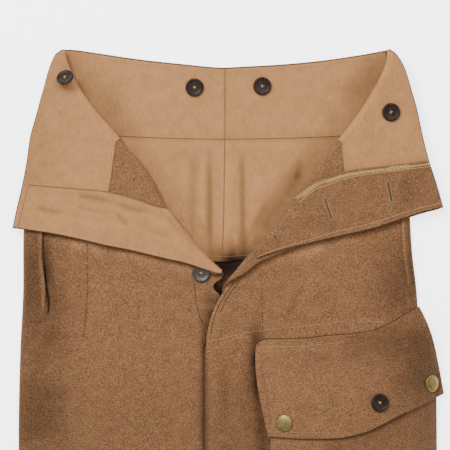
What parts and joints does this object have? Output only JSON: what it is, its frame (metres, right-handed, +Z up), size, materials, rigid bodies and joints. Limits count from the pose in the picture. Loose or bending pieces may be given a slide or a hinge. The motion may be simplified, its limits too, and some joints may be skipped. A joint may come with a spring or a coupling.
{
  "type": "battledress trousers",
  "caption": "Wool battledress trousers laid flat on their back, waist and fly undone, fronts turned back, with a bellows map pocket.",
  "frame": {"origin": "middle of the garment's outline, on the surface it lies on", "axes": "+Y towards the waist, +Z up from the surface, out of the trousers' front, +X towards the wearer's left"},
  "size_m": [0.4748, 1.068, 0.0397],
  "materials": {
    "serge": "napped wool serge",
    "drill": "plain cotton drill",
    "button": "polished, dished",
    "brass": "tarnished"
  },
  "bodies": {
    "root": {"back_right": "serge", "back_left": "serge", "front_right": "serge", "front_left": "serge", "waist_lining_back_right": "drill", "waist_lining_back_left": "drill", "seat_lining_right": "drill", "seat_lining_left": "drill", "waist_lining_front_right": "drill", "waist_lining_front_left": "drill", "fly_facing_right": "drill", "fly_facing_left": "serge", "side_pocket_edge_right": "serge", "side_pocket_edge_left": "serge", "map_pocket_bag": "serge", "map_pocket_flap": "serge", "brace_button_back_right": "button", "brace_button_back_left": "button", "brace_button_front_right": "button", "brace_button_front_left": "button", "fly_button": "button", "map_pocket_button": "button", "map_pocket_snap_inner": "brass", "map_pocket_snap_outer": "brass"}
  },
  "joints": []
}
